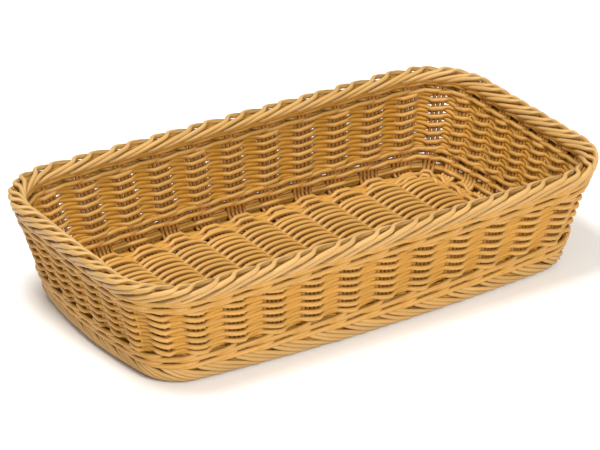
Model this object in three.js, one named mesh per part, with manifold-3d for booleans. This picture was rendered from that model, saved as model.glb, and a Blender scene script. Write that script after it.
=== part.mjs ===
// Rectangular bread basket woven from round plastic cane.
//
// Bundles of stakes run in a U down one wall, across the base and up the opposite wall. Single
// weavers go round the walls, in front of one bundle and behind the next. A wale of twisted canes
// locks the weave below and above, a foot border closes the lower edge and a rolled rim border
// closes the upper one. Units are millimetres, +Z is up, and the origin is on the surface that
// the basket stands on, under its middle. +X is the long direction.

import * as THREE from 'three';
import Module from 'manifold-3d';
import { mergeVertices } from 'three/addons/utils/BufferGeometryUtils.js';

const manifoldLibrary = await Module();
manifoldLibrary.setup();

// ---- Driving dimensions ----

const RIM_LENGTH = 325;
const RIM_WIDTH = 176;
const RIM_CORNER_RADIUS = 41;
const FOOT_LENGTH = 285;
const FOOT_WIDTH = 148;
const FOOT_CORNER_RADIUS = 27;
const HEIGHT = 68;

const CANE = 2.5; // width that one cane takes in a bundle
const STAKE_THICKNESS = 2.2;
const WEAVER_DEPTH = 2.6;
const WEAVER_HEIGHT = 2.2;
const CLEARANCE = 0.3; // between neighbouring pieces

const LONG_BUNDLES = 11;
const LONG_BUNDLE_CANES = 5;
const LONG_BUNDLE_PITCH = 0.0866; // share of the long side from corner to corner
const SHORT_BUNDLES = 7;
const SHORT_BUNDLE_CANES = 4;
const SHORT_BUNDLE_PITCH = 0.1267; // share of the short side from corner to corner
const CORNER_BUNDLE_CANES = 3;
const BASE_PAIR_GAP = 0.87; // on both sides of a pair of base canes, to the end stakes beside it

const LONG_SIDE_BOW = 5; // how far the foot bulges outwards at the middle of a side
const SHORT_SIDE_BOW = 4;

const STAKE_BEND = 5.5; // radius of the bend from base to wall
const FOOT_TOP = 10.6;
const BOTTOM_WALE_HEIGHT = 9.6;
const TOP_WALE_HEIGHT = 6.2;
const RIM_HEIGHT = 10.2;
const RIM_OUTER_REACH = 5; // from the middle of the wall outwards
const RIM_CROWN_DROP = 2.5; // the rim is widest this far below its top
const RIM_CROWN_HALF_WIDTH = 2.6; // of the flat along its top
const RIM_LOWER_CHAMFER = 1; // sideways, where the rim meets the top wale
const RIM_LOWER_RISE = 2; // height of that chamfer
const RIM_INNER_REACH = 5.2;
const RIM_CHANNEL_DEPTH = 3.6; // room under the rim for the ends of the stakes
const FOOT_FLANGE = 1.6; // thickness of the border where it tucks under the base
const FOOT_TUCK = 6; // how far it tucks under, inwards from the middle of the wall
const FOOT_CHAMFER = 2.5; // along its lower outer edge

// ---- Sizes that follow ----

// Height of the middle of the stakes where they cross the base: over the lowest base canes, which
// clear the border tucked under them.
const BASE_LEVEL = FOOT_FLANGE + 2 * CLEARANCE + 1.5 * STAKE_THICKNESS;
const WALL_REACH = STAKE_THICKNESS / 2 + CLEARANCE + WEAVER_DEPTH; // wall middle to outer face
const RIM_BOTTOM = HEIGHT - RIM_HEIGHT;
const RIM_SHOULDER = HEIGHT - RIM_CROWN_DROP;
const STAKE_TOP = RIM_BOTTOM + RIM_CHANNEL_DEPTH - CLEARANCE;
const BOTTOM_WALE_BOTTOM = FOOT_TOP + CLEARANCE;
const WEAVE_BOTTOM = BOTTOM_WALE_BOTTOM + BOTTOM_WALE_HEIGHT + CLEARANCE;
const TOP_WALE_TOP = RIM_BOTTOM - CLEARANCE;
const WEAVE_TOP = TOP_WALE_TOP - TOP_WALE_HEIGHT;
const WEAVER_STEP = WEAVER_HEIGHT + CLEARANCE;
const WEAVERS = Math.floor((WEAVE_TOP - WEAVE_BOTTOM) / WEAVER_STEP);
const WEAVER_REACH = STAKE_THICKNESS / 2 + CLEARANCE + WEAVER_DEPTH / 2;
const OVER_LEVEL = BASE_LEVEL + STAKE_THICKNESS + CLEARANCE;
const UNDER_LEVEL = BASE_LEVEL - STAKE_THICKNESS - CLEARANCE;
const BEND_TOP = BASE_LEVEL + STAKE_BEND;
const EDGE_MARGIN = 2 * CLEARANCE; // a weaver stays level this far past the edge of a bundle

const HALF_CORNER_STEPS = 4;
const STRAIGHT_STEPS = 5;
const STRAIGHT_WALL_LEVELS = 2; // spans up the wall of a bundle on a straight side
const CURVED_WALL_LEVELS = 4; // the same on a corner

// ---- The wall surface ----

// Middle surface of the wall at height z: half sizes, corner radius and bulge of the sides.
function wallAt(z) {
  const rise = (z - BASE_LEVEL) / (RIM_SHOULDER - BASE_LEVEL);
  const mix = (low, high) => low + (high - low) * rise;
  return {
    halfLength: mix(FOOT_LENGTH / 2 - WALL_REACH, RIM_LENGTH / 2 - RIM_OUTER_REACH),
    halfWidth: mix(FOOT_WIDTH / 2 - WALL_REACH, RIM_WIDTH / 2 - RIM_OUTER_REACH),
    radius: mix(FOOT_CORNER_RADIUS - WALL_REACH, RIM_CORNER_RADIUS - RIM_OUTER_REACH),
    fade: 1 - rise,
  };
}

// Sides go round anticlockwise from the near one, each from corner middle to corner middle.
function sideAt(side, z) {
  const wall = wallAt(z);
  const isLong = side % 2 === 0;
  const halfAlong = isLong ? wall.halfLength : wall.halfWidth;
  const reach = isLong ? wall.halfWidth : wall.halfLength;
  const straight = 2 * (halfAlong - wall.radius);
  const halfArc = (Math.PI / 4) * wall.radius;
  const bow = (isLong ? LONG_SIDE_BOW : SHORT_SIDE_BOW) * wall.fade;
  return { reach, straight, halfArc, bow, radius: wall.radius, length: straight + 2 * halfArc };
}

// Point on a side at a share of its length, at height z, offset outwards from the wall's middle.
function wallPoint(side, share, z, offset) {
  const { reach, straight, halfArc, bow, radius, length } = sideAt(side, z);
  const run = share * length - halfArc;
  const beyond = run < 0 ? run : Math.max(0, run - straight);
  const angle = beyond / radius;
  const onStraight = Math.min(Math.max(run, 0), straight);
  const middle = 2 * (onStraight / straight) - 1;
  const bulge = bow * (1 - middle * middle);
  const along = onStraight - straight / 2 + (radius + offset) * Math.sin(angle);
  const outward = reach - radius + (radius + offset) * Math.cos(angle) + bulge;
  const turn = (side * Math.PI) / 2;
  return new THREE.Vector3(
    along * Math.cos(turn) + outward * Math.sin(turn),
    along * Math.sin(turn) - outward * Math.cos(turn),
    z,
  );
}

// Shares of a side where a ring gets its stations: evenly round both half corners and between.
function ringShares(side, z) {
  const { straight, halfArc, length } = sideAt(side, z);
  const corner = [];
  for (let i = 0; i <= HALF_CORNER_STEPS; i += 1) {
    corner.push(((i / HALF_CORNER_STEPS) * halfArc) / length);
  }
  const between = [];
  for (let i = 1; i < STRAIGHT_STEPS; i += 1) {
    between.push((halfArc + (straight * i) / STRAIGHT_STEPS) / length);
  }
  const nextCorner = corner.slice(1).map((share) => 1 - share);
  return [...corner, ...between, ...nextCorner.reverse()];
}

// ---- Solids ----

// Solid through matching rings of points, joined end to start or closed with two flat ends.
function loft(rings, closed) {
  const sides = rings[0].length;
  const positions = rings.flat().flatMap((point) => [point.x, point.y, point.z]);
  const indices = [];
  const spans = closed ? rings.length : rings.length - 1;
  for (let i = 0; i < spans; i += 1) {
    const here = i * sides;
    const next = ((i + 1) % rings.length) * sides;
    for (let j = 0; j < sides; j += 1) {
      const k = (j + 1) % sides;
      indices.push(here + j, next + k, here + k);
      indices.push(here + j, next + j, next + k);
    }
  }
  if (!closed) {
    const last = (rings.length - 1) * sides;
    for (let j = 1; j < sides - 1; j += 1) {
      indices.push(0, j, j + 1);
      indices.push(last, last + j + 1, last + j);
    }
  }
  const geometry = new THREE.BufferGeometry();
  geometry.setAttribute('position', new THREE.Float32BufferAttribute(positions, 3));
  geometry.setIndex(indices);
  return geometry;
}

// Ring round the whole basket whose section is a list of [outward offset, height] corners.
function wallRing(section) {
  const level = section[0][1];
  const rings = [0, 1, 2, 3].flatMap((side) => ringShares(side, level).map(
    (share) => section.map(([offset, z]) => wallPoint(side, share, z, offset)),
  ));
  return loft(rings, true);
}

function toManifold(geometry) {
  const merged = mergeVertices(geometry);
  const vertProperties = new Float32Array(merged.attributes.position.array);
  const triVerts = new Uint32Array(merged.index.array);
  const mesh = new manifoldLibrary.Mesh({ numProp: 3, vertProperties, triVerts });
  return new manifoldLibrary.Manifold(mesh);
}

function fromManifold(solid) {
  const mesh = solid.getMesh();
  const geometry = new THREE.BufferGeometry();
  geometry.setAttribute('position', new THREE.BufferAttribute(mesh.vertProperties, 3));
  geometry.setIndex(new THREE.BufferAttribute(mesh.triVerts, 1));
  return geometry;
}

// ---- Where the bundles of stakes stand ----

function bundle(side, share, canes) {
  const { halfArc, length } = sideAt(side, RIM_BOTTOM);
  const halfWidth = (canes * CANE) / 2;
  const inset = Math.min(share, 1 - share) * length;
  return { side, share, halfWidth, curved: inset - halfWidth < halfArc };
}

function bundlesOfSide(side) {
  const isLong = side % 2 === 0;
  const count = isLong ? LONG_BUNDLES : SHORT_BUNDLES;
  const pitch = isLong ? LONG_BUNDLE_PITCH : SHORT_BUNDLE_PITCH;
  const canes = isLong ? LONG_BUNDLE_CANES : SHORT_BUNDLE_CANES;
  const bundles = [bundle(side, 0, CORNER_BUNDLE_CANES)];
  for (let i = 0; i < count; i += 1) {
    bundles.push(bundle(side, 0.5 + (i - (count - 1) / 2) * pitch, canes));
  }
  return bundles;
}

const SIDES = [0, 1, 2, 3].map(bundlesOfSide);
const BUNDLES = SIDES.flat();

// Shares across a bundle at height z. Extra margin widens it on both edges.
function acrossBundle({ side, share, halfWidth, curved }, z, margin = 0) {
  const half = (halfWidth + margin) / sideAt(side, z).length;
  return curved ? [share - half, share, share + half] : [share - half, share + half];
}

// Section of a bundle: its outer face one way, then its inner face back. The bundle stands at
// height z, and pushes inwards and tips over by the lean angle where it bends into the base.
function stakeSection(stakes, z, { inset = 0, lean = 0, swell = 0 } = {}) {
  const half = STAKE_THICKNESS / 2 + swell;
  const shares = acrossBundle(stakes, z, swell);
  const face = (sign) => shares.map((share) => {
    const offset = -inset + sign * half * Math.cos(lean);
    const point = wallPoint(stakes.side, share, z, offset);
    point.z = z - sign * half * Math.sin(lean);
    return point;
  });
  return [...face(1), ...face(-1).reverse()];
}

// Sections of a bundle from its top end down to where it lies flat on the base.
function wallSections(stakes, swell = 0) {
  const levels = stakes.curved ? CURVED_WALL_LEVELS : STRAIGHT_WALL_LEVELS;
  const sections = [];
  for (let i = 0; i <= levels; i += 1) {
    const z = STAKE_TOP + ((BEND_TOP - STAKE_TOP) * i) / levels;
    sections.push(stakeSection(stakes, z, { swell }));
  }
  for (const lean of [Math.PI / 4, Math.PI / 2]) {
    const inset = STAKE_BEND * (1 - Math.cos(lean));
    const z = BEND_TOP - STAKE_BEND * Math.sin(lean);
    sections.push(stakeSection(stakes, z, { inset, lean, swell }));
  }
  return sections;
}

// Sections up the opposite wall, with their corners in the order that this bundle has them.
function upOppositeWall(stakes) {
  const opposite = { ...stakes, side: stakes.side + 2, share: 1 - stakes.share };
  const half = stakes.curved ? 3 : 2;
  const fromThisEdge = (section) => [
    ...section.slice(0, half).reverse(),
    ...section.slice(half).reverse(),
  ];
  return wallSections(opposite).map(fromThisEdge).reverse();
}

// ---- Sub-parts ----

function crossStakes(stakes) {
  return loft([...wallSections(stakes), ...upOppositeWall(stakes)], false);
}

function cornerStakes(stakes) {
  return loft(wallSections(stakes), false);
}

// Places along X of the cross stakes where they lie on the base.
function crossingPlaces() {
  return SIDES[0].slice(1).map((stakes) => wallPoint(0, stakes.share, BASE_LEVEL, 0).x);
}

// Levels of a lengthwise cane that goes over every second bundle of cross stakes.
function baseWave(overFirst) {
  const half = (LONG_BUNDLE_CANES * CANE) / 2 + EDGE_MARGIN;
  return crossingPlaces().flatMap((x, i) => {
    const level = (i % 2 === 0) === overFirst ? OVER_LEVEL : UNDER_LEVEL;
    return [[x - half, level], [x + half, level]];
  });
}

// Flat section across Y at one place on the base, lower face first.
function flatSection(x, z, edges) {
  const half = STAKE_THICKNESS / 2;
  const lower = edges.map((y) => new THREE.Vector3(x, y, z - half));
  const upper = edges.map((y) => new THREE.Vector3(x, y, z + half));
  return [...lower, ...upper.reverse()];
}

function endStakes(stakes) {
  const down = wallSections(stakes);
  const flat = down.at(-1);
  const edges = flat.slice(0, flat.length / 2).map((point) => point.y);
  const across = baseWave(true).map(([x, z]) => flatSection(x, z, edges));
  return loft([...down, ...across, ...upOppositeWall(stakes)], false);
}

// Two canes side by side that fill the space between neighbouring bundles of end stakes.
function basePair(middle, space, reach) {
  const half = space / 2 - BASE_PAIR_GAP;
  const wave = baseWave(false);
  const level = wave[0][1];
  const stations = [[-reach, level], ...wave, [reach, level]];
  return loft(stations.map(([x, z]) => flatSection(x, z, [middle + half, middle - half])), false);
}

// One weaver: outside a bundle, then inside the next, all the way round.
function wallWeaver(level, outsideFirst) {
  const low = level - WEAVER_HEIGHT / 2;
  const high = level + WEAVER_HEIGHT / 2;
  const rings = BUNDLES.flatMap((stakes, i) => {
    const sign = (i % 2 === 0) === outsideFirst ? 1 : -1;
    const inner = sign * WEAVER_REACH - WEAVER_DEPTH / 2;
    const outer = sign * WEAVER_REACH + WEAVER_DEPTH / 2;
    return acrossBundle(stakes, level, EDGE_MARGIN).map((share) => [
      wallPoint(stakes.side, share, low, inner),
      wallPoint(stakes.side, share, low, outer),
      wallPoint(stakes.side, share, high, outer),
      wallPoint(stakes.side, share, high, inner),
    ]);
  });
  return loft(rings, true);
}

// Band of twisted canes, less the bundles of stakes that pass through it and a clearance.
function wale(bottom, top) {
  let band = toManifold(wallRing([
    [-WALL_REACH, bottom],
    [WALL_REACH, bottom],
    [WALL_REACH, top],
    [-WALL_REACH, top],
  ]));
  for (const stakes of BUNDLES) {
    const slot = loft(wallSections(stakes, CLEARANCE), false);
    band = band.subtract(toManifold(slot));
  }
  return fromManifold(band);
}

function footBorder() {
  const inner = STAKE_THICKNESS / 2 + CLEARANCE;
  return wallRing([
    [-FOOT_TUCK, 0],
    [WALL_REACH - FOOT_CHAMFER, 0],
    [WALL_REACH, FOOT_CHAMFER],
    [WALL_REACH, FOOT_TOP],
    [inner, FOOT_TOP],
    [inner, FOOT_FLANGE],
    [-FOOT_TUCK, FOOT_FLANGE],
  ]);
}

function rimBorder() {
  const channel = STAKE_THICKNESS / 2 + CLEARANCE;
  const waist = RIM_BOTTOM + RIM_LOWER_RISE;
  return wallRing([
    [channel, RIM_BOTTOM],
    [RIM_OUTER_REACH - RIM_LOWER_CHAMFER, RIM_BOTTOM],
    [RIM_OUTER_REACH, waist],
    [RIM_OUTER_REACH, RIM_SHOULDER],
    [RIM_CROWN_HALF_WIDTH, HEIGHT],
    [-RIM_CROWN_HALF_WIDTH, HEIGHT],
    [-RIM_INNER_REACH, RIM_SHOULDER],
    [-RIM_INNER_REACH, waist],
    [RIM_LOWER_CHAMFER - RIM_INNER_REACH, RIM_BOTTOM],
    [-channel, RIM_BOTTOM],
    [-channel, RIM_BOTTOM + RIM_CHANNEL_DEPTH],
    [channel, RIM_BOTTOM + RIM_CHANNEL_DEPTH],
  ]);
}

// ---- Materials: one plastic cane, in the shades it has in the different parts ----

function cane(color) {
  return new THREE.MeshStandardMaterial({ color, roughness: 0.45, metalness: 0 });
}

const STAKE_CANE = cane('#b9854a');
const WEAVER_CANE = cane('#d6a45e');
const BORDER_CANE = cane('#e2b876');

// ---- Assembly ----

const basket = new THREE.Group();

function addPiece(name, geometry, material) {
  geometry.computeVertexNormals();
  const mesh = new THREE.Mesh(geometry, material);
  mesh.name = name;
  basket.add(mesh);
}

const numbered = (name, index) => `${name}_${String(index + 1).padStart(2, '0')}`;

SIDES[0].slice(1).forEach((stakes, i) => {
  addPiece(numbered('cross_stakes', i), crossStakes(stakes), STAKE_CANE);
});

const endBundles = SIDES[3].slice(1);
endBundles.forEach((stakes, i) => {
  addPiece(numbered('end_stakes', i), endStakes(stakes), STAKE_CANE);
});

SIDES.forEach((bundles, i) => {
  addPiece(numbered('corner_stakes', i), cornerStakes(bundles[0]), STAKE_CANE);
});

const endMiddles = endBundles.map((stakes) => wallPoint(3, stakes.share, BASE_LEVEL, 0).y);
const lastCrossing = baseWave(false).at(-1)[0];
const endSpacing = endMiddles[0] - endMiddles[1];
const firstPair = endMiddles[0] + endSpacing / 2;
const pairMiddles = [firstPair, ...endMiddles.map((y) => y - endSpacing / 2)];
const pairSpace = endSpacing - SHORT_BUNDLE_CANES * CANE;
pairMiddles.forEach((middle, i) => {
  const isOutermost = i === 0 || i === pairMiddles.length - 1;
  const reach = lastCrossing + (isOutermost ? CLEARANCE : STAKE_BEND);
  addPiece(numbered('base_canes', i), basePair(middle, pairSpace, reach), WEAVER_CANE);
});

for (let i = 0; i < WEAVERS; i += 1) {
  const level = WEAVE_BOTTOM + WEAVER_HEIGHT / 2 + i * WEAVER_STEP;
  addPiece(numbered('wall_weaver', i), wallWeaver(level, i % 2 === 0), WEAVER_CANE);
}

const bottomWaleTop = BOTTOM_WALE_BOTTOM + BOTTOM_WALE_HEIGHT;
const topWaleBottom = WEAVE_BOTTOM + WEAVERS * WEAVER_STEP;
addPiece('bottom_wale', wale(BOTTOM_WALE_BOTTOM, bottomWaleTop), WEAVER_CANE);
addPiece('top_wale', wale(topWaleBottom, TOP_WALE_TOP), WEAVER_CANE);
addPiece('foot_border', footBorder(), BORDER_CANE);
addPiece('rim_border', rimBorder(), BORDER_CANE);

export default basket;
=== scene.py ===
"""Rectangular bread basket woven from round polypropylene cane.

Every cane is laid as a round tube along its own path in the weave. The wall, the base and the
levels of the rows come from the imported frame, so each bundle of canes stands where the solid that
it replaces stands. Lengths are in metres.
"""

import math
import random

import bpy
from bpy.props import FloatProperty, FloatVectorProperty, IntProperty, PointerProperty
from mathutils import Matrix, Vector, noise


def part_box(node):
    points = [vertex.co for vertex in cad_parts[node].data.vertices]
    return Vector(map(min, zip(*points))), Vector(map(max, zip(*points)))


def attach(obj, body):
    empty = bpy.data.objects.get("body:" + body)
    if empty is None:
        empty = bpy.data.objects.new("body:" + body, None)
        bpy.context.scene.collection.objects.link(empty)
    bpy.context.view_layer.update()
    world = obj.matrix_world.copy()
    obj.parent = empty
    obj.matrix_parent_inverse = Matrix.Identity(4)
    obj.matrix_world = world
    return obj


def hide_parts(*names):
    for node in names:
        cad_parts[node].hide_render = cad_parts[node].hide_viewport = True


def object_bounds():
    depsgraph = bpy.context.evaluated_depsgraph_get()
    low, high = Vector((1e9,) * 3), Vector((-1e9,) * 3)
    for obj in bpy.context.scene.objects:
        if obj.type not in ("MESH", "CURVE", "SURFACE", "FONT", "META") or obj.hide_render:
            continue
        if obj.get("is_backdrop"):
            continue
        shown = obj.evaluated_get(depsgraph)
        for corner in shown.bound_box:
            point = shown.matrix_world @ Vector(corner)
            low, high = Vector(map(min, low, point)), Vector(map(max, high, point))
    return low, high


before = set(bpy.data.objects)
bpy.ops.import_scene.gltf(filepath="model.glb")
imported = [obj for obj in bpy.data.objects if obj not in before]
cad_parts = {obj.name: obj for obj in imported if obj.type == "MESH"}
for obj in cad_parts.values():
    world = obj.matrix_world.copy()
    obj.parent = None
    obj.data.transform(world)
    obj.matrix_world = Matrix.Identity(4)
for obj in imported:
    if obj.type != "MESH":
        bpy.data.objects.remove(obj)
CAD_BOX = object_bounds()

bl_info = {
    "name": "Woven bread basket",
    "version": (1, 0, 0),
    "blender": (4, 5, 0),
    "location": "View3D > Sidebar > Bread basket",
    "description": "Weaves a rectangular bread basket from round plastic cane",
    "category": "Object",
}

MM = 0.001
RIM_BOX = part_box("rim_border")
WEAVER_NODES = sorted(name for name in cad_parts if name.startswith("wall_weaver"))
BASE_PAIR_NODES = sorted(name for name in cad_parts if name.startswith("base_canes"))


def srgb(text):
    """Linear colour of an sRGB hex value."""
    channels = [int(text[i : i + 2], 16) / 255 for i in (1, 3, 5)]
    return [c / 12.92 if c <= 0.04045 else ((c + 0.055) / 1.055) ** 2.4 for c in channels]


def length(name, description, default):
    return FloatProperty(
        name=name,
        description=description,
        default=default,
        min=0.0001,
        precision=5,
        subtype="DISTANCE",
        unit="LENGTH",
    )


def count(name, description, default, least):
    return IntProperty(name=name, description=description, default=default, min=least)


def share(name, description, default):
    return FloatProperty(name=name, description=description, default=default, min=0.01)


def colour(name, description, default):
    return FloatVectorProperty(
        name=name,
        description=description,
        default=srgb(default),
        size=3,
        min=0,
        max=1,
        subtype="COLOR",
    )


# ---- Sizes and colours that a user would change ----


class BasketShape(bpy.types.PropertyGroup):
    """The wall of the basket and how many bundles of stakes stand in it."""

    rim_corner_radius: length("Rim corner", "Outer corner radius of the rim", 0.041)
    foot_length: length("Foot length", "Outer length of the foot at its corners", 0.285)
    foot_width: length("Foot width", "Outer width of the foot at its corners", 0.148)
    foot_corner_radius: length("Foot corner", "Outer corner radius of the foot", 0.027)
    long_side_bow: length("Long side bow", "Bulge of the long sides at the foot", 0.005)
    short_side_bow: length("Short side bow", "Bulge of the short sides at the foot", 0.004)
    base_level: length("Base level", "Height of the stakes where they cross the base", 0.0055)
    rim_crown_drop: length("Crown drop", "The rim is widest this far below its top", 0.0025)
    rim_reach: length("Rim reach", "From the middle of the wall to the rim's outer face", 0.005)
    wall_reach: length("Wall reach", "From the middle of the wall to its outer face", 0.004)
    long_bundles: count("Long bundles", "Bundles on a long side", 11, 3)
    short_bundles: count("Short bundles", "Bundles on a short side", 7, 3)
    long_pitch: share("Long pitch", "Bundle spacing as a share of a long side", 0.0866)
    short_pitch: share("Short pitch", "Bundle spacing as a share of a short side", 0.1267)


class BasketCanes(bpy.types.PropertyGroup):
    """How thick the canes are and how they lie beside each other."""

    stake: length("Stake cane", "Diameter of the canes that stand in the wall", 0.0024)
    weaver: length("Weaver cane", "Diameter of the canes that go round the wall", 0.0029)
    base: length("Base cane", "Diameter of the lengthwise canes of the base", 0.0028)
    wale: length("Wale cane", "Diameter of the canes of the wales", 0.003)
    rim: length("Rim cane", "Diameter of the canes of the rim", 0.0029)
    foot: length("Foot cane", "Diameter of the canes of the foot", 0.0026)
    stake_spacing: length("Stake spacing", "From cane to cane in a bundle", 0.0027)
    base_spacing: length("Base spacing", "From one lengthwise cane of the base to the next", 0.0028)
    bend: length("Stake bend", "Radius of the bend from the wall into the base", 0.0055)
    long_bundle: count("Long bundle", "Canes in a bundle on a long side", 5, 1)
    short_bundle: count("Short bundle", "Canes in a bundle on a short side", 4, 1)
    corner_bundle: count("Corner bundle", "Canes in a corner bundle", 3, 1)
    unevenness: length("Unevenness", "How far a hand-laid cane strays from its path", 0.00036)


class BasketColours(bpy.types.PropertyGroup):
    """Shades of the dyed cane; the brown and part of the amber are painted shade."""

    honey: colour("Honey", "The canes of the wall", "#bf904b")
    pale: colour("Pale honey", "The canes of the borders", "#be965a")
    # Brown: a darker copy of the honey cane, painted shade for the stakes, which sit in shadow inside
    # the weave.
    brown: colour("Brown", "The stakes inside the weave", "#9b6829")
    # Amber is the colour of random dye patches, and also painted shade where weavers cross between
    # the stakes, stakes stand among the weavers, ends tuck in and canes lie inside the borders.
    amber: colour("Amber", "Where weavers squeeze past each other", "#b37f2b")
    floor: colour("Floor", "The floor under the basket", "#f6f5f2")


# ---- The wall surface ----


BASE_FACE_RISE = 0.0055  # the stakes have turned up from the base into the wall at this height
RIM_CORE_RISE = 0.005  # height of the core of the rim's roll above the rim's lower edge


class Wall:
    """Middle surface of the wall, and the places of the bundles of stakes round it."""

    def __init__(self, shape):
        self.shape = shape
        self.rim_length = RIM_BOX[1].x - RIM_BOX[0].x
        self.rim_width = RIM_BOX[1].y - RIM_BOX[0].y
        self.shoulder = RIM_BOX[1].z - shape.rim_crown_drop
        self.marks = []
        for side in range(4):
            count, pitch = (
                (shape.long_bundles, shape.long_pitch)
                if side % 2 == 0
                else (shape.short_bundles, shape.short_pitch)
            )
            self.marks.append(float(side))
            for i in range(count):
                self.marks.append(side + 0.5 + (i - (count - 1) / 2) * pitch)

    def side(self, side, z):
        """Reach, straight run, half corner arc, bow and corner radius of a side at a height."""
        s = self.shape
        rise = (z - s.base_level) / (self.shoulder - s.base_level)

        def mix(low, high):
            return low + (high - low) * rise

        half_length = mix(s.foot_length / 2 - s.wall_reach, self.rim_length / 2 - s.rim_reach)
        half_width = mix(s.foot_width / 2 - s.wall_reach, self.rim_width / 2 - s.rim_reach)
        radius = mix(s.foot_corner_radius - s.wall_reach, s.rim_corner_radius - s.rim_reach)
        is_long = side % 2 == 0
        along, reach = (half_length, half_width) if is_long else (half_width, half_length)
        bow = (s.long_side_bow if is_long else s.short_side_bow) * (1 - rise)
        return reach, 2 * (along - radius), math.pi / 4 * radius, bow, radius

    def point(self, place, z, offset=0.0, shift=0.0):
        """Point at a place (side number plus share of that side), moved outwards and along."""
        side = int(place // 1) % 4
        reach, straight, half_arc, bow, radius = self.side(side, z)
        run = (place % 1) * (straight + 2 * half_arc) - half_arc + shift
        beyond = run if run < 0 else max(0.0, run - straight)
        angle = beyond / radius
        on_straight = min(max(run, 0.0), straight)
        middle = 2 * on_straight / straight - 1
        along = on_straight - straight / 2 + (radius + offset) * math.sin(angle)
        outward = reach - radius + (radius + offset) * math.cos(angle) + bow * (1 - middle**2)
        turn = side * math.pi / 2
        return Vector(
            (
                along * math.cos(turn) + outward * math.sin(turn),
                along * math.sin(turn) - outward * math.cos(turn),
                z,
            )
        )

    def place(self, step):
        """Place of a bundle number, or of a point between bundles, counted round the basket."""
        count = len(self.marks)
        lap, within = divmod(step, count)
        index = int(within)
        here = self.marks[index]
        after = self.marks[index + 1] if index + 1 < count else 4.0
        return here + (after - here) * (within - index)

    def at(self, step, z, offset=0.0, shift=0.0):
        return self.point(self.place(step), z, offset, shift)

    def away(self, point):
        """Level direction from the middle of the basket square to the wall, and the distance from
        the middle surface of the wall."""
        reach, straight, _, _, radius = self.side(0, point.z)
        near_x = min(max(point.x, -straight / 2), straight / 2)
        near_y = min(max(point.y, radius - reach), reach - radius)
        level = Vector((point.x - near_x, point.y - near_y, 0))
        return level.normalized(), level.length - radius

    def face_of_weave(self, point):
        """Direction that the weave faces: level on the wall, and up on the base."""
        if point.z < self.shape.base_level + BASE_FACE_RISE:
            return Vector((0, 0, 1))
        return self.away(point)[0]

    def face_of_foot(self, point):
        return self.away(point)[0]

    def face_of_rim(self, point):
        """Direction from the core of the rim's roll."""
        level, offset = self.away(point)
        return (level * offset + Vector((0, 0, point.z - RIM_BOX[0].z - RIM_CORE_RISE))).normalized()


# ---- Paths ----


def smooth(points, spans):
    """Catmull-Rom path through the points, with this many spans from each to the next."""
    path = []
    last = len(points) - 1
    for i in range(last):
        a, b = points[max(i - 1, 0)], points[i]
        c, d = points[i + 1], points[min(i + 2, last)]
        for k in range(spans):
            t = k / spans
            path.append(
                0.5
                * (
                    2 * b
                    + (c - a) * t
                    + (2 * a - 5 * b + 4 * c - d) * t**2
                    + (3 * b - a - 3 * c + d) * t**3
                )
            )
    path.append(points[last].copy())
    return path


def wave(keys, phase):
    """Value at a phase of a curve that repeats, through evenly spaced keys."""
    count = len(keys)
    spot = (phase % 1) * count
    i = int(spot)
    t = spot - i
    a, b, c, d = (keys[(i + k) % count] for k in (-1, 0, 1, 2))
    return 0.5 * (
        2 * b + (c - a) * t + (2 * a - 5 * b + 4 * c - d) * t**2 + (3 * b - a - 3 * c + d) * t**3
    )


NOISE_PER_METRE = 45  # of the noise that a cane wanders by
NOISE_SEED = 1  # without a seed other than 0, the noise follows the clock
SEED_STEPS = (3.7, 1.3, 2.1)  # place in the noise of each further seed


def strayed(path, amount, seed):
    """The path with the slow, small wander of a cane laid by hand."""
    noise.seed_set(NOISE_SEED)
    start = Vector([seed * step for step in SEED_STEPS])
    return [p + noise.noise_vector(p * NOISE_PER_METRE + start) * amount for p in path]


BLUNT_TIP = ((0.0004, 0.86), (0.0007, 0.55))  # distance past a cane's end, and share of its thickness


class Run:
    """One cane: its path, whether it closes on itself, and how much painted amber shade it has at
    each point.
    """

    def __init__(self, path, closed=False, amber=None):
        self.path = path
        self.closed = closed
        self.amber = amber or [0.0] * len(path)
        self.radii = [1.0] * len(path)
        if not closed:
            self.round_ends()

    def round_ends(self):
        """Draws both ends in to a blunt tip."""
        for end, inner in ((0, 1), (-1, -2)):
            tip = self.path[end]
            outward = (tip - self.path[inner]).normalized()
            where = 0 if end == 0 else len(self.path)
            for reach, radius in BLUNT_TIP:
                self.path.insert(where, tip + outward * reach)
                self.amber.insert(where, self.amber[end])
                self.radii.insert(where, radius)
                where = 0 if end == 0 else len(self.path)


SIDES_OF_A_CANE = 12


def lay_canes(name, runs, diameter, seed, facing):
    """Makes one piece of all the canes: a round tube along each run, closed at its ends. Facing gives
    the direction that the weave faces at a point, which sets where shade is painted on the sides of
    the canes."""
    bpy.ops.object.select_all(action="DESELECT")
    bpy.ops.object.add(type="CURVE", location=(0, 0, 0))
    piece = bpy.context.object
    piece.name = name
    curve = piece.data
    curve.dimensions = "3D"
    curve.twist_mode = "MINIMUM"
    curve.bevel_depth = diameter / 2
    curve.bevel_resolution = SIDES_OF_A_CANE // 2 - 2
    curve.use_fill_caps = False
    for run in runs:
        spline = curve.splines.new("POLY")
        spline.points.add(len(run.path) - 1)
        spline.points.foreach_set("co", [c for p in run.path for c in (*p, 1.0)])
        spline.points.foreach_set("radius", run.radii)
        spline.use_cyclic_u = run.closed
    bpy.ops.object.convert(target="MESH")
    piece = bpy.context.object
    piece.data.name = name
    mark_canes(piece.data, runs, seed, facing)
    bpy.ops.object.mode_set(mode="EDIT")
    bpy.ops.mesh.select_all(action="SELECT")
    bpy.ops.mesh.fill_holes(sides=SIDES_OF_A_CANE)
    bpy.ops.object.mode_set(mode="OBJECT")
    bpy.ops.object.shade_smooth()
    piece.select_set(False)
    return piece


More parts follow.
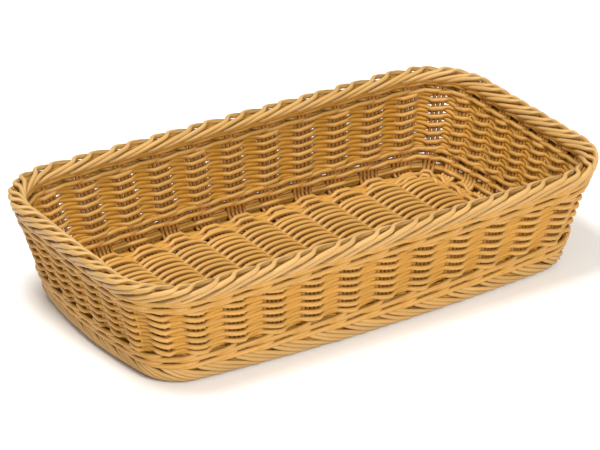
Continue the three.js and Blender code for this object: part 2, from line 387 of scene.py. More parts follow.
def mark_canes(mesh, runs, seed, facing):
    """Writes where each vertex is on its cane, its painted amber shade, its cane's own random tone,
    and how far it faces out of the weave rather than towards the next cane, which sets the painted
    shade where canes meet."""
    rings = sum(len(run.path) for run in runs)
    sides = len(mesh.vertices) // rings
    if sides * rings != len(mesh.vertices):
        raise RuntimeError(f"{mesh.name}: {len(mesh.vertices)} vertices don't fit {rings} rings")
    chance = random.Random(seed)
    along, amber, shade, open_side = [], [], [], []
    corners = iter(mesh.vertices)
    for run in runs:
        tone = chance.random()
        distance = chance.random()
        previous = run.path[0]
        for p, painted_amber_shade in zip(run.path, run.amber):
            distance += (p - previous).length
            previous = p
            out = facing(p)
            for k in range(sides):
                angle = 2 * math.pi * k / sides
                open_side.append(abs((next(corners).co - p).normalized().dot(out)))
                along.extend((distance, math.cos(angle), math.sin(angle)))
                amber.append(painted_amber_shade)
                shade.append(tone)
    for title, kind, field, values in (
        ("cane_run", "FLOAT_VECTOR", "vector", along),
        ("cane_painted_amber_shade", "FLOAT", "value", amber),
        ("cane_shade", "FLOAT", "value", shade),
        ("cane_open_side", "FLOAT", "value", open_side),
    ):
        mesh.attributes.new(title, kind, "POINT").data.foreach_set(field, values)


def finish_piece(piece, material, slot, *nodes):
    piece.data.materials.clear()
    piece.data.materials.append(material)
    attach(piece, "root")
    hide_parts(*nodes)


# ---- Materials ----


def add_node(tree, kind, inputs=(), **settings):
    """Adds a node with its settings, and links or sets its inputs by name or number."""
    node = tree.nodes.new(kind)
    for key, value in settings.items():
        setattr(node, key, value)
    for key, value in dict(inputs).items():
        if isinstance(value, bpy.types.NodeSocket):
            tree.links.new(value, node.inputs[key])
        else:
            node.inputs[key].default_value = value
    return node


def ranged(tree, value, source, result):
    """Output of a node that maps a value from one range on to another."""
    inputs = {"Value": value}
    for title, (low, high) in (("From", source), ("To", result)):
        inputs[f"{title} Min"] = low
        inputs[f"{title} Max"] = high
    return add_node(tree, "ShaderNodeMapRange", inputs).outputs[0]


def multiplied(tree, value, factor):
    return add_node(tree, "ShaderNodeMath", {0: value, 1: factor}, operation="MULTIPLY").outputs[0]


FULL_RANGE = (0.0, 1.0)
STREAK_LENGTH = 0.03  # of the drawing marks that the die leaves along the cane
STREAKS_ROUND = 1.5  # radius of the circle that the streak pattern is read on: about 9 streaks
STREAK_NOISE = (0.3, 0.7)  # range of the noise from the darkest streak to the lightest
STREAK_VALUE = (0.88, 1.08)  # brightness over that range
STREAK_RELIEF = 0.00025
STREAK_BUMP = 0.35
ROUGHER = 0.07  # than the cane as a whole, on its darkest streaks
SMOOTHER = 0.05  # than the cane as a whole, on its lightest streaks
SHADE_SEED_STEP = 37.0  # sets the streaks of one cane apart from those of the next
SHADE_VALUE = (0.93, 1.05)  # brightness from the darkest cane to the lightest
DYE_PATCH = 0.035  # size of the patches in which the dye turns amber
DYE_NOISE = (0.35, 0.65)  # range of the noise from plain to amber
DYE_AMBER = (0.0, 0.22)  # amber over that range
CREVICE_EDGE = 0.55  # a surface turned further than this from the face of the weave gets painted shade
CREVICE_PAINTED_SHADE = 0.42  # painted shade: the colour is darkened to this share where a cane meets the next
POLYPROPYLENE_IOR = 1.49
CANE_SPECULAR = 0.32
SATIN = 0.42  # roughness of the outer canes
DULL = 0.5  # roughness of the stakes inside the weave


def cane_material(name, base, amber, roughness):
    """Extruded polypropylene cane, dyed through and drawn: satin, with faint lengthwise streaks, a
    slightly different shade on each cane, and random amber patches of dye. Painted shade on top of
    that: a deeper amber where canes cross between the stakes, tuck in or lie inside the borders, and
    darker sides where a cane meets the next."""
    found = bpy.data.materials.get(name)
    if found:
        return found
    material = bpy.data.materials.new(name)
    material.use_nodes = True
    tree = material.node_tree
    shader = tree.nodes["Principled BSDF"]
    run = add_node(tree, "ShaderNodeAttribute", attribute_name="cane_run")
    painted_amber_shade = add_node(tree, "ShaderNodeAttribute", attribute_name="cane_painted_amber_shade")
    shade = add_node(tree, "ShaderNodeAttribute", attribute_name="cane_shade")
    open_side = add_node(tree, "ShaderNodeAttribute", attribute_name="cane_open_side")
    drawn = add_node(
        tree,
        "ShaderNodeMapping",
        {
            "Vector": run.outputs["Vector"],
            "Scale": (1 / STREAK_LENGTH, STREAKS_ROUND, STREAKS_ROUND),
        },
    )
    streaks = add_node(
        tree,
        "ShaderNodeTexNoise",
        {
            "Vector": drawn.outputs["Vector"],
            "W": multiplied(tree, shade.outputs["Fac"], SHADE_SEED_STEP),
            "Scale": 1.0,
            "Detail": 3.0,
        },
        noise_dimensions="4D",
    )
    streak = streaks.outputs["Fac"]
    streak_value = ranged(tree, streak, STREAK_NOISE, STREAK_VALUE)
    shade_value = ranged(tree, shade.outputs["Fac"], FULL_RANGE, SHADE_VALUE)
    # Painted shade: the sides of a cane that turn towards the next cane are darkened.
    painted_crevice_shade = ranged(
        tree, open_side.outputs["Fac"], (0.0, CREVICE_EDGE), (CREVICE_PAINTED_SHADE, 1.0)
    )
    value = multiplied(tree, multiplied(tree, streak_value, shade_value), painted_crevice_shade)
    place = add_node(tree, "ShaderNodeTexCoord")
    dye = add_node(
        tree,
        "ShaderNodeTexNoise",
        {"Vector": place.outputs["Object"], "Scale": 1 / DYE_PATCH, "Detail": 2.0},
    )
    uneven = ranged(tree, dye.outputs["Fac"], DYE_NOISE, DYE_AMBER)
    # Random amber patches of dye, added to the painted amber shade.
    amber_dye_and_shade = add_node(
        tree,
        "ShaderNodeMath",
        {0: painted_amber_shade.outputs["Fac"], 1: uneven},
        operation="ADD",
        use_clamp=True,
    )
    # In a Mix node for colours, input 0 is the factor and inputs 6 and 7 are the two colours.
    tint = add_node(
        tree,
        "ShaderNodeMix",
        {0: amber_dye_and_shade.outputs[0], 6: (*base, 1), 7: (*amber, 1)},
        data_type="RGBA",
    )
    coloured = add_node(tree, "ShaderNodeHueSaturation", {"Value": value, "Color": tint.outputs[2]})
    tree.links.new(coloured.outputs["Color"], shader.inputs["Base Color"])
    gloss = ranged(tree, streak, STREAK_NOISE, (roughness + ROUGHER, roughness - SMOOTHER))
    tree.links.new(gloss, shader.inputs["Roughness"])
    relief = add_node(
        tree,
        "ShaderNodeBump",
        {"Height": streak, "Strength": STREAK_BUMP, "Distance": STREAK_RELIEF},
    )
    tree.links.new(relief.outputs["Normal"], shader.inputs["Normal"])
    shader.inputs["IOR"].default_value = POLYPROPYLENE_IOR
    shader.inputs["Specular IOR Level"].default_value = CANE_SPECULAR
    return material


def honey_cane(colours):
    return cane_material("Dyed polypropylene cane, honey", colours.honey, colours.amber, SATIN)


# Painted shade: the stakes get a darker copy of the honey cane.
def painted_shade_stake_cane(colours):
    return cane_material("Polypropylene cane, brown painted shade", colours.brown, colours.amber, DULL)


def pale_cane(colours):
    return cane_material("Dyed polypropylene cane, pale honey", colours.pale, colours.amber, SATIN)


PAPER_VALUE = (0.985, 1.015)  # brightness over the mottle
PAPER_MOTTLE = 6.0  # patches per metre
PAPER_ROUGHNESS = 0.9
PAPER_SPECULAR = 0.2


def floor_material(colours):
    """Matt paper sweep: nearly white, with a faint mottle that keeps it from looking like a void."""
    material = bpy.data.materials.new("Matt white paper")
    material.use_nodes = True
    tree = material.node_tree
    shader = tree.nodes["Principled BSDF"]
    place = add_node(tree, "ShaderNodeTexCoord")
    mottle = add_node(
        tree,
        "ShaderNodeTexNoise",
        {"Vector": place.outputs["Object"], "Scale": PAPER_MOTTLE, "Detail": 2.0},
    )
    value = ranged(tree, mottle.outputs["Fac"], FULL_RANGE, PAPER_VALUE)
    tinted = add_node(tree, "ShaderNodeHueSaturation", {"Value": value, "Color": (*colours.floor, 1)})
    tree.links.new(tinted.outputs["Color"], shader.inputs["Base Color"])
    shader.inputs["Roughness"].default_value = PAPER_ROUGHNESS
    shader.inputs["Specular IOR Level"].default_value = PAPER_SPECULAR
    return material


# ---- Stakes ----

# First seeds of the wander of each kind of cane, and of the shades of the canes in a piece.
WANDER = {
    "cross": 0,
    "end": 300,
    "corner": 500,
    "base": 200,
    "weaver": 100,
    "rim": 700,
    "foot": 900,
    "foot_core": 990,
    "rim_core": 995,
}
SHADES = {"cross": 10, "end": 40, "corner": 60, "base": 80, "weaver": 120, "foot": 170, "rim": 180}
SEEDS_PER_BUNDLE = 10
BASE_CANES_PER_NODE = 2

STAKE_TOP = 0.0035  # of the stakes, above the rim's lower edge
STAKE_LEVELS = 10
STAKE_SPANS = 2
BEND_DEGREES = (22.5, 45, 67.5, 90)
BASE_SPANS = 10
STAKE_STRAY = 0.6  # share of the unevenness of the other canes
BASE_SLACK = 0.0004  # by which the canes of the base arch clear of the stakes that they cross
BASE_HUMP = 1.3  # the higher, the squarer the humps of the canes over the stakes
SPANS_PER_BUNDLE = 12
END_STAKE_GAP = 0.002  # between the bend of an end stake and the first point of its woven part
STAKE_PAINTED_SHADE = 0.6  # painted amber shade of the end stakes in the wall, where the weavers shade them
BASE_TOP = 0.01  # the painted shade on the end stakes starts at this height
BASE_FADE = 0.004  # height over which it grows
CORNERS = 4
END_OF_SIDE = 1 - 1e-9  # share of a side that is as good as its end, and still on it


def offsets_in_bundle(count, spacing):
    """Shifts along the wall of the canes in a bundle, from the bundle's middle."""
    return [(i - (count - 1) / 2) * spacing for i in range(count)]


def stake_down(wall, canes, at):
    """Path of a stake from under the rim down the wall and round the bend on to the base. At gives
    the stake's point at a height and an outward offset."""
    top = RIM_BOX[0].z + STAKE_TOP
    bend_top = wall.shape.base_level + canes.bend
    points = []
    for i in range(STAKE_LEVELS + 1):
        points.append(at(top + (bend_top - top) * i / STAKE_LEVELS, 0.0))
    for degrees in BEND_DEGREES:
        lean = math.radians(degrees)
        z = bend_top - canes.bend * math.sin(lean)
        points.append(at(z, canes.bend * (math.cos(lean) - 1)))
    return points


def crossing_places(wall):
    """Places along X where the bundles of cross stakes lie on the base."""
    return [wall.at(1 + i, wall.shape.base_level).x for i in range(wall.shape.long_bundles)]


def base_cane(wall, canes, y, over_first, reach):
    """Path of a lengthwise cane on the base, over one bundle of cross stakes and under the next.
    A reach carries both its ends on to that distance from the middle."""
    lift = (canes.stake + canes.base) / 2 + BASE_SLACK
    places = crossing_places(wall)
    pitch = places[1] - places[0]
    first = places[0] - pitch / 2
    last = places[-1] + pitch / 2
    count = len(places) * SPANS_PER_BUNDLE
    path = []
    for i in range(count + 1):
        x = first + (last - first) * i / count
        phase = (x - places[0]) / pitch
        swing = math.cos(math.pi * phase) * (1 if over_first else -1)
        level = wall.shape.base_level + lift * math.tanh(BASE_HUMP * swing) / math.tanh(BASE_HUMP)
        path.append(Vector((x, y, level)))
    if reach:
        path.insert(0, Vector((-reach, y, path[0].z)))
        path.append(Vector((reach, y, path[-1].z)))
    return path


def cross_stake_runs(wall, canes, index):
    """A bundle of cross stakes: down the near wall, across the base and up the far wall."""
    step = 1 + index
    seed = WANDER["cross"] + index * SEEDS_PER_BUNDLE
    runs = []
    for k, shift in enumerate(offsets_in_bundle(canes.long_bundle, canes.stake_spacing)):
        near = stake_down(wall, canes, lambda z, offset: wall.at(step, z, offset, shift))
        far = [Vector((p.x, -p.y, p.z)) for p in reversed(near)]
        foot = near[-1]
        middle = [
            Vector((foot.x, foot.y * (1 - 2 * t / BASE_SPANS), foot.z)) for t in range(1, BASE_SPANS)
        ]
        path = smooth(near + middle + far, STAKE_SPANS)
        runs.append(Run(strayed(path, canes.unevenness * STAKE_STRAY, seed + k)))
    return runs


def end_stake_runs(wall, canes, index):
    """A bundle of end stakes: down one short wall, woven along the base and up the other."""
    # Before the last side come three corners, both long sides and one short side.
    step = 3 + 2 * wall.shape.long_bundles + wall.shape.short_bundles + 1 + index
    seed = WANDER["end"] + index * SEEDS_PER_BUNDLE
    runs = []
    for k, shift in enumerate(offsets_in_bundle(canes.short_bundle, canes.base_spacing)):
        down = stake_down(wall, canes, lambda z, offset: wall.at(step, z, offset, shift))
        foot = down[-1]
        flat = base_cane(wall, canes, foot.y, k % 2 == 0, 0)
        inner = [p for p in flat if foot.x + END_STAKE_GAP < p.x < -foot.x - END_STAKE_GAP]
        up = [Vector((-p.x, p.y, p.z)) for p in reversed(down)]
        path = smooth(down, STAKE_SPANS) + inner + smooth(up, STAKE_SPANS)
        # Painted shade: the end stakes turn amber in the wall, among the weavers.
        amber = [STAKE_PAINTED_SHADE * min(1.0, max(0.0, (p.z - BASE_TOP) / BASE_FADE)) for p in path]
        runs.append(Run(strayed(path, canes.unevenness * STAKE_STRAY, seed + k), amber=amber))
    return runs


def corner_point(wall, corner, z, offset, shift):
    """Point beside the middle of a corner, on whichever side the shift leads to."""
    if shift >= 0:
        return wall.point(float(corner), z, offset, shift)
    return wall.point((corner - 1) % CORNERS + END_OF_SIDE, z, offset, shift)


def corner_stake_runs(wall, canes, corner):
    """A bundle of short stakes on a corner, which end on the base."""
    seed = WANDER["corner"] + corner * SEEDS_PER_BUNDLE
    runs = []
    for k, shift in enumerate(offsets_in_bundle(canes.corner_bundle, canes.stake_spacing)):
        down = stake_down(wall, canes, lambda z, offset: corner_point(wall, corner, z, offset, shift))
        path = smooth(down, STAKE_SPANS)
        runs.append(Run(strayed(path, canes.unevenness * STAKE_STRAY, seed + k)))
    return runs


# ---- Weave ----

# Over two bundles: outside the first and inside the second. The keys are evenly spaced from the
# middle of the outside stretch, in thousandths of a metre.
WEAVER_RISE = (0.0, -0.5, 0.4, 1.1, 0.7, 0.3, -0.1, 0.4, 1.2, 1.1)
SLOT_EDGE = 0.17  # from the middle of a bundle, in bundles: a weaver lies on the stakes up to here
COLUMN_EDGE = 0.31  # from here on it lies in line with the other weavers
LEAN = 0.3  # share of its reach by which it leans from one side to the other in between
WEAVER_PRESS = 0.0001  # by which a weaver presses on to the stakes


def side_of_bundle(step):
    """How far a weaver stands off to one side of the stakes: 1 against them, and 0 half way to the
    next bundle. The step is counted from the middle of the nearest bundle."""
    away = abs(step)
    left = min(1.0, max(0.0, (COLUMN_EDGE - away) / (COLUMN_EDGE - SLOT_EDGE)))
    return LEAN * math.cos(math.pi * away) + (1 - LEAN) * left * left * (3 - 2 * left)


def steps_round(wall, outside_first):
    """Steps round the basket, each with how far a weaver stands off there to one side of the
    stakes, and whether it is outside them."""
    for i in range(len(wall.marks) * SPANS_PER_BUNDLE):
        step = i / SPANS_PER_BUNDLE
        bundle = round(step)
        yield step, side_of_bundle(step - bundle), (bundle % 2 == 0) == outside_first


# Painted amber shade of a cane half way between bundles, where it crosses from one side of the stakes
# to the other, and how fast it fades towards the stakes.
WEAVER_PAINTED_SHADE = (0.85, 1.1)
BEND_PAINTED_SHADE = (0.4, 0.6)
WALE_PAINTED_SHADE = (0.45, 0.9)


def painted_shade_between(amber, stand):
    most, fade = amber
    return max(0.0, most - fade * stand)


def weaver_run(wall, canes, level, outside_first, seed):
    """One weaver: outside a bundle, then inside the next, all the way round."""
    reach = (canes.stake + canes.weaver) / 2 - WEAVER_PRESS
    path, amber = [], []
    for step, stand, outside in steps_round(wall, outside_first):
        phase = (step + (0 if outside_first else 1)) / 2
        rise = wave(WEAVER_RISE, phase) * MM
        path.append(wall.at(step, level + rise, reach * stand * (1 if outside else -1)))
        amber.append(painted_shade_between(WEAVER_PAINTED_SHADE, stand))
    return Run(strayed(path, canes.unevenness, seed), closed=True, amber=amber)


def bend_round(wall, canes, degrees, inset, outside_first, seed):
    """One weaver on the bend of the stakes, where the wall turns into the base."""
    reach = (canes.stake + canes.weaver) / 2
    bend_top = wall.shape.base_level + canes.bend
    across = math.cos(math.radians(degrees))
    up = math.sin(math.radians(degrees))
    path, amber = [], []
    for step, stand, outside in steps_round(wall, outside_first):
        inwards = reach * stand * (-1 if outside else 1)
        offset = canes.bend * (across - 1) - inwards * across - inset
        path.append(wall.at(step, bend_top - (canes.bend - inwards) * up, offset))
        amber.append(painted_shade_between(BEND_PAINTED_SHADE, stand))
    return Run(strayed(path, canes.unevenness, seed), closed=True, amber=amber)


# Wales: node, heights of its two rounds, height of the plain weaver between them and the weave,
# whether that weaver starts outside, and seed.
WALES = (
    ("bottom_wale", (0.0137, 0.0184), 0.0203, False, 150),
    ("top_wale", (0.0532, 0.058), 0.0516, True, 160),
)
WALE_CANES = 3
WALE_SPANS = 8
WALE_LIFT = 0.002  # by which a cane of a wale rises and falls about the height of its round
WALE_SQUARE = 2.2  # the higher, the more squarely a cane of a wale turns in and out
WALE_BULGE = 0.0009  # by which it bulges over the other two canes
WALE_BULGE_LENGTH = 0.66  # share of its way that the bulge takes
WALE_OUTSIDE = 2 / 3  # share of its way outside the stakes, over two bundles of three
# Rounds on the bend from wall to base: degrees round the bend, and distance inwards beyond it.
BEND_ROUNDS = ((28, 0.0), (90, 0.0), (90, 0.0028), (90, 0.0056), (90, 0.0084))


def wale_run(wall, canes, level, seed):
    """Three canes twisted round the stakes. They follow each other round the basket, so that with
    a number of bundles that three doesn't divide they close as one cane."""
    reach = (canes.stake + canes.wale) / 2
    path, amber = [], []
    for i in range(len(wall.marks) * WALE_SPANS * WALE_CANES):
        step = i / WALE_SPANS
        phase = (step / WALE_CANES) % 1
        outer = math.cos(2 * math.pi * (phase - 1 / 6)) + 0.5
        offset = reach * math.tanh(WALE_SQUARE * outer)
        if offset > 0:
            offset += WALE_BULGE * math.sin(math.pi * min(1.0, phase / WALE_BULGE_LENGTH))
        if phase < WALE_OUTSIDE:
            height = -WALE_LIFT + 2 * WALE_LIFT * (phase * 1.5)
        else:
            height = WALE_LIFT - 2 * WALE_LIFT * ((phase - WALE_OUTSIDE) * 3)
        path.append(wall.at(step - 0.5, level + height, offset))
        amber.append(painted_shade_between(WALE_PAINTED_SHADE, abs(math.sin(math.pi * i / WALE_SPANS))))
    return Run(strayed(path, canes.unevenness, seed), closed=True, amber=amber)


def wale_runs(wall, canes, levels, weaver_level, weaver_outside_first, seed):
    """The rounds of a wale, and the plain weaver that lies against it."""
    runs = [wale_run(wall, canes, level, seed + i) for i, level in enumerate(levels)]
    runs.append(weaver_run(wall, canes, weaver_level, weaver_outside_first, seed + 3))
    return runs


# ---- Borders ----

# How a cane of the rim lies, by steps of half a bundle from where it goes over the top: step,
# outward offset and height from the top of the rim, both in thousandths of a metre.
RIM_PATH = (
    (-3.6, 0.4, -12.4),
    (-2.9, 2.4, -10.4),
    (-2.2, 3.5, -8.0),
    (-1.5, 3.8, -5.4),
    (-0.8, 3.7, -3.1),
    (-0.35, 3.2, -2.0),
    (-0.12, 2.4, -1.6),
    (0.04, 0.9, -1.5),
    (0.18, -0.9, -1.6),
    (0.42, -2.2, -2.0),
    (0.9, -3.2, -2.9),
    (1.5, -3.6, -4.3),
    (2.1, -3.3, -5.8),
    (2.6, -2.1, -7.0),
    (3.0, -0.8, -7.8),
)
# Canes inside the rim: outward offset and height above the floor, in thousandths of a metre.
RIM_CORE = ((2.2, 63.0), (-0.4, 62.2), (-2.5, 60.9), (0.8, 59.6))
RIM_CANES_PER_BUNDLE = 2
RIM_PAIR_SHIFT = 0.2  # steps by which every second cane lies nearer to the next
RIM_TUCK = 12  # points over which a cane's painted amber shade fades from where it is tucked in
RIM_START_PAINTED_SHADE = 0.5
RIM_END_PAINTED_SHADE = 0.35

# The same for a cane of the foot, by steps of a bundle from where it leaves the bottom wale, with
# heights above the floor.
FOOT_PATH = (
    (-0.25, 0.2, 15.2),
    (0.0, 1.9, 12.6),
    (0.2, 3.0, 10.2),
    (0.45, 3.5, 7.9),
    (0.7, 3.6, 5.8),
    (0.95, 3.0, 3.9),
    (1.2, 1.7, 2.3),
    (1.5, -0.8, 1.5),
    (1.95, -4.8, 1.4),
)
# Canes inside the foot: outward offset and height above the floor, in thousandths of a metre.
FOOT_CORE = ((0.9, 9.4), (1.0, 6.4), (0.6, 3.6))
FOOT_CANES_PER_BUNDLE = 3
FOOT_SEEDS_PER_BUNDLE = 5
FOOT_SPREAD = 0.17  # steps from cane to cane of a bundle where they leave the wale
FOOT_FAN = 0.16  # further steps between them, once they have fanned out
FOOT_FAN_POINTS = 4  # points of the path over which they fan out
FOOT_TUCK = 10
FOOT_PAINTED_SHADE = 0.5

BORDER_SPANS = 5
CORE_SPANS_PER_BUNDLE = 4
CORE_STRAY = 20  # a cane of a core strays by its diameter divided by this


def tucked(points, tuck):
    """Share of the painted amber shade of a tucked-in end that is left after this many points."""
    return max(0.0, 1 - points / tuck)


def rim_runs(wall, canes):
    """Canes that climb the outside of the rim, turn over its top and go down inside."""
    top = RIM_BOX[1].z
    runs = []
    for k in range(len(wall.marks) * RIM_CANES_PER_BUNDLE):
        pair = RIM_PAIR_SHIFT if k % 2 else 0.0
        points = []
        for step, offset, height in RIM_PATH:
            where = (k + pair + step) / RIM_CANES_PER_BUNDLE
            points.append(wall.at(where, top + height * MM, offset * MM))
        path = smooth(points, BORDER_SPANS)
        count = len(path)
        # Painted shade: amber at both ends, where they go into the weave.
        amber = [
            RIM_START_PAINTED_SHADE * tucked(i, RIM_TUCK) + RIM_END_PAINTED_SHADE * tucked(count - i, RIM_TUCK)
            for i in range(count)
        ]
        runs.append(Run(strayed(path, canes.unevenness, WANDER["rim"] + k), amber=amber))
    return runs


def foot_runs(wall, canes):
    """Canes that come down beside each bundle and tuck under each other round the foot."""
    runs = []
    for bundle in range(len(wall.marks)):
        seed = WANDER["foot"] + bundle * FOOT_SEEDS_PER_BUNDLE
        for k in range(FOOT_CANES_PER_BUNDLE):
            side = k - (FOOT_CANES_PER_BUNDLE - 1) / 2
            points = []
            for i, (step, offset, height) in enumerate(FOOT_PATH):
                spread = side * (FOOT_SPREAD + FOOT_FAN * min(1.0, i / FOOT_FAN_POINTS))
                points.append(wall.at(bundle + step + spread, height * MM, offset * MM))
            path = smooth(points, BORDER_SPANS)
            # Painted shade: amber at its start, where it comes out from under the bottom wale.
            amber = [FOOT_PAINTED_SHADE * tucked(i, FOOT_TUCK) for i in range(len(path))]
            runs.append(Run(strayed(path, canes.unevenness, seed + k), amber=amber))
    return runs


def core_runs(wall, diameter, places, seed):
    """Canes that run straight round inside a border and fill it, coloured full amber as painted
    shade.
    """
    count = len(wall.marks) * CORE_SPANS_PER_BUNDLE
    runs = []
    for n, (offset, height) in enumerate(places):
        path = [
            wall.at(i / CORE_SPANS_PER_BUNDLE, height * MM, offset * MM) for i in range(count)
        ]
        path = strayed(path, diameter / CORE_STRAY, seed + n)
        # Painted shade: full amber, for canes that lie in shadow inside the border.
        runs.append(Run(path, closed=True, amber=[1.0] * count))
    return runs


# ---- Operators ----


def numbered(name, index):
    return f"{name}_{index + 1:02d}"


class BASKET_OT_cross_stakes(bpy.types.Operator):
    """Lay the bundles of stakes that cross the base from one long wall to the other"""

    bl_idname = "basket.cross_stakes"
    bl_label = "Cross stakes"

    def execute(self, context):
        scene = context.scene
        canes = scene.basket_canes
        wall = Wall(scene.basket_shape)
        for i in range(scene.basket_shape.long_bundles):
            name = numbered("cross_stake_canes", i)
            runs = cross_stake_runs(wall, canes, i)
            piece = lay_canes(name, runs, canes.stake, SHADES["cross"] + i, wall.face_of_weave)
            material = painted_shade_stake_cane(scene.basket_colours)
            finish_piece(piece, material, "stake_cane", numbered("cross_stakes", i))
        return {"FINISHED"}


class BASKET_OT_end_stakes(bpy.types.Operator):
    """Lay the bundles of stakes that run lengthwise and are woven through the base"""

    bl_idname = "basket.end_stakes"
    bl_label = "End stakes"

    def execute(self, context):
        scene = context.scene
        canes = scene.basket_canes
        wall = Wall(scene.basket_shape)
        for i in range(scene.basket_shape.short_bundles):
            name = numbered("end_stake_canes", i)
            runs = end_stake_runs(wall, canes, i)
            piece = lay_canes(name, runs, canes.base, SHADES["end"] + i, wall.face_of_weave)
            material = honey_cane(scene.basket_colours)
            finish_piece(piece, material, "stake_cane", numbered("end_stakes", i))
        return {"FINISHED"}


class BASKET_OT_corner_stakes(bpy.types.Operator):
    """Stand the small bundles of stakes on the four corners"""

    bl_idname = "basket.corner_stakes"
    bl_label = "Corner stakes"

    def execute(self, context):
        scene = context.scene
        canes = scene.basket_canes
        wall = Wall(scene.basket_shape)
        for i in range(CORNERS):
            name = numbered("corner_stake_canes", i)
            runs = corner_stake_runs(wall, canes, i)
            piece = lay_canes(name, runs, canes.stake, SHADES["corner"] + i, wall.face_of_weave)
            material = painted_shade_stake_cane(scene.basket_colours)
            finish_piece(piece, material, "stake_cane", numbered("corner_stakes", i))
        return {"FINISHED"}


class BASKET_OT_base_canes(bpy.types.Operator):
    """Weave the lengthwise canes of the base between the end stakes"""

    bl_idname = "basket.base_canes"
    bl_label = "Base canes"

    def execute(self, context):
        scene = context.scene
        canes = scene.basket_canes
        wall = Wall(scene.basket_shape)
        for i, node in enumerate(BASE_PAIR_NODES):
            name = numbered("base_weave_canes", i)
            low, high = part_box(node)
            middle = (low.y + high.y) / 2
            runs = []
            for k, shift in enumerate(offsets_in_bundle(BASE_CANES_PER_NODE, canes.base_spacing)):
                path = base_cane(wall, canes, middle + shift, k % 2 == 1, high.x)
                seed = WANDER["base"] + i * BASE_CANES_PER_NODE + k
                runs.append(Run(strayed(path, canes.unevenness, seed)))
            piece = lay_canes(name, runs, canes.base, SHADES["base"] + i, wall.face_of_weave)
            finish_piece(piece, honey_cane(scene.basket_colours), "weaver_cane", node)
        return {"FINISHED"}


class BASKET_OT_weavers(bpy.types.Operator):
    """Weave the single canes of the wall, one round after the other"""

    bl_idname = "basket.weavers"
    bl_label = "Wall weavers"

    def execute(self, context):
        scene = context.scene
        canes = scene.basket_canes
        wall = Wall(scene.basket_shape)
        for i, node in enumerate(WEAVER_NODES):
            name = numbered("wall_weaver_cane", i)
            low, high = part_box(node)
            run = weaver_run(wall, canes, (low.z + high.z) / 2, i % 2 == 0, WANDER["weaver"] + i)
            piece = lay_canes(name, [run], canes.weaver, SHADES["weaver"] + i, wall.face_of_weave)
            finish_piece(piece, honey_cane(scene.basket_colours), "weaver_cane", node)
        return {"FINISHED"}


class BASKET_OT_wales(bpy.types.Operator):
    """Twist three canes round the stakes, two rounds below the weave and two above it"""

    bl_idname = "basket.wales"
    bl_label = "Wales"

    def execute(self, context):
        scene = context.scene
        canes = scene.basket_canes
        wall = Wall(scene.basket_shape)
        for node, levels, weaver_level, weaver_outside_first, seed in WALES:
            runs = wale_runs(wall, canes, levels, weaver_level, weaver_outside_first, seed)
            if node == "bottom_wale":
                for i, (degrees, inset) in enumerate(BEND_ROUNDS):
                    runs.append(bend_round(wall, canes, degrees, inset, i % 2 == 0, seed + 5 + i))
            piece = lay_canes(f"{node}_canes", runs, canes.wale, seed, wall.face_of_weave)
            finish_piece(piece, honey_cane(scene.basket_colours), "weaver_cane", node)
        return {"FINISHED"}


class BASKET_OT_foot(bpy.types.Operator):
    """Tuck the border canes round the foot"""

    bl_idname = "basket.foot"
    bl_label = "Foot border"

    def execute(self, context):
        scene = context.scene
        canes = scene.basket_canes
        wall = Wall(scene.basket_shape)
        runs = foot_runs(wall, canes) + core_runs(wall, canes.foot, FOOT_CORE, WANDER["foot_core"])
        piece = lay_canes("foot_border_canes", runs, canes.foot, SHADES["foot"], wall.face_of_foot)
        finish_piece(piece, pale_cane(scene.basket_colours), "border_cane", "foot_border")
        return {"FINISHED"}


class BASKET_OT_rim(bpy.types.Operator):
    """Roll the border canes over the rim"""

    bl_idname = "basket.rim"
    bl_label = "Rim border"

    def execute(self, context):
        scene = context.scene
        canes = scene.basket_canes
        wall = Wall(scene.basket_shape)
        runs = rim_runs(wall, canes) + core_runs(wall, canes.rim, RIM_CORE, WANDER["rim_core"])
        piece = lay_canes("rim_border_canes", runs, canes.rim, SHADES["rim"], wall.face_of_rim)
        finish_piece(piece, pale_cane(scene.basket_colours), "border_cane", "rim_border")
        return {"FINISHED"}


# ---- Stage ----

FLOOR_SIZE = 12
# Softboxes: name, place, point that it faces, diameter and power in watts.
SOFTBOXES = (
    ("overhead_softbox", (-0.4, 0.1, 1.6), (0, 0, 0), 0.7, 24),
    ("front_softbox", (-0.2, -1.7, 1.2), (0, 0, 0.03), 0.8, 33),
)
STUDIO_COLOUR = (1.0, 0.99, 0.975, 1)
STUDIO_STRENGTH = 0.5
VIEW_AZIMUTH = math.radians(-33.83)
VIEW_ELEVATION = math.radians(27.13)
VIEW_ROLL = math.radians(0.73)
VIEW_DISTANCE = 1.8945
VIEW_TARGET = Vector((0.0055, 0.0149, 0.0244))
LENS = 196.24  # millimetres
SENSOR_WIDTH = 36  # millimetres
CLIP_END = 30


def soft_light(name, place, aim, size, power):
    bpy.ops.object.light_add(type="AREA", location=place)
    lamp = bpy.context.object
    lamp.name = name
    lamp.data.shape = "DISK"
    lamp.data.size = size
    lamp.data.energy = power
    lamp.rotation_euler = (Vector(aim) - Vector(place)).to_track_quat("-Z", "Y").to_euler()


def place_camera(scene):
    flat = math.cos(VIEW_ELEVATION)
    back = Vector(
        (math.sin(VIEW_AZIMUTH) * flat, -math.cos(VIEW_AZIMUTH) * flat, math.sin(VIEW_ELEVATION))
    )
    bpy.ops.object.camera_add(location=VIEW_TARGET + back * VIEW_DISTANCE)
    camera = bpy.context.object
    camera.name = "camera"
    camera.data.lens = LENS
    camera.data.sensor_width = SENSOR_WIDTH
    camera.data.clip_end = CLIP_END
    turn = (-back).to_track_quat("-Z", "Y").to_matrix().to_4x4()
    camera.rotation_euler = (turn @ Matrix.Rotation(VIEW_ROLL, 4, "Z")).to_euler()
    scene.camera = camera


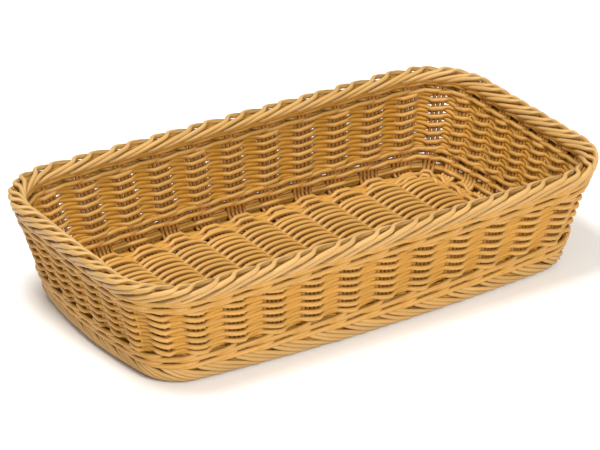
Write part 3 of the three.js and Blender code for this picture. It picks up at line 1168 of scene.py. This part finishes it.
class BASKET_OT_stage(bpy.types.Operator):
    """Set the floor, the soft lights and the camera"""

    bl_idname = "basket.stage"
    bl_label = "Stage"

    def execute(self, context):
        scene = context.scene
        bpy.ops.object.select_all(action="DESELECT")
        bpy.ops.mesh.primitive_plane_add(size=FLOOR_SIZE, location=(0, 0, CAD_BOX[0].z))
        floor = context.object
        floor.name = "floor"
        floor.data.materials.append(floor_material(scene.basket_colours))
        floor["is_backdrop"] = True
        for softbox in SOFTBOXES:
            soft_light(*softbox)
        world = bpy.data.worlds.new("White studio")
        world.use_nodes = True
        backdrop = world.node_tree.nodes["Background"]
        backdrop.inputs["Color"].default_value = STUDIO_COLOUR
        backdrop.inputs["Strength"].default_value = STUDIO_STRENGTH
        scene.world = world
        scene.view_settings.view_transform = "Standard"
        place_camera(scene)
        return {"FINISHED"}


class BASKET_PT_panel(bpy.types.Panel):
    """Sizes, colours and steps of the basket"""

    bl_idname = "BASKET_PT_panel"
    bl_label = "Bread basket"
    bl_space_type = "VIEW_3D"
    bl_region_type = "UI"
    bl_category = "Bread basket"

    def draw(self, context):
        layout = self.layout
        scene = context.scene
        for group in (scene.basket_shape, scene.basket_canes, scene.basket_colours):
            box = layout.box()
            for name in group.__annotations__:
                box.prop(group, name)
        for step in STEPS:
            layout.operator(step.bl_idname)


STEPS = (
    BASKET_OT_stage,
    BASKET_OT_cross_stakes,
    BASKET_OT_end_stakes,
    BASKET_OT_corner_stakes,
    BASKET_OT_base_canes,
    BASKET_OT_weavers,
    BASKET_OT_wales,
    BASKET_OT_foot,
    BASKET_OT_rim,
)
GROUPS = (BasketShape, BasketCanes, BasketColours)


def register():
    for cls in (*GROUPS, *STEPS, BASKET_PT_panel):
        bpy.utils.register_class(cls)
    bpy.types.Scene.basket_shape = PointerProperty(type=BasketShape)
    bpy.types.Scene.basket_canes = PointerProperty(type=BasketCanes)
    bpy.types.Scene.basket_colours = PointerProperty(type=BasketColours)


def unregister():
    del bpy.types.Scene.basket_colours
    del bpy.types.Scene.basket_canes
    del bpy.types.Scene.basket_shape
    for cls in reversed((*GROUPS, *STEPS, BASKET_PT_panel)):
        bpy.utils.unregister_class(cls)


def main():
    register()
    bpy.ops.basket.stage()
    bpy.ops.basket.cross_stakes()
    bpy.ops.basket.end_stakes()
    bpy.ops.basket.corner_stakes()
    bpy.ops.basket.base_canes()
    bpy.ops.basket.weavers()
    bpy.ops.basket.wales()
    bpy.ops.basket.foot()
    bpy.ops.basket.rim()
    boxes = {"cad": CAD_BOX, "visual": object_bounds()}
    {name: [list(corner) for corner in box] for name, box in boxes.items()}


if __name__ == "__main__":
    main()
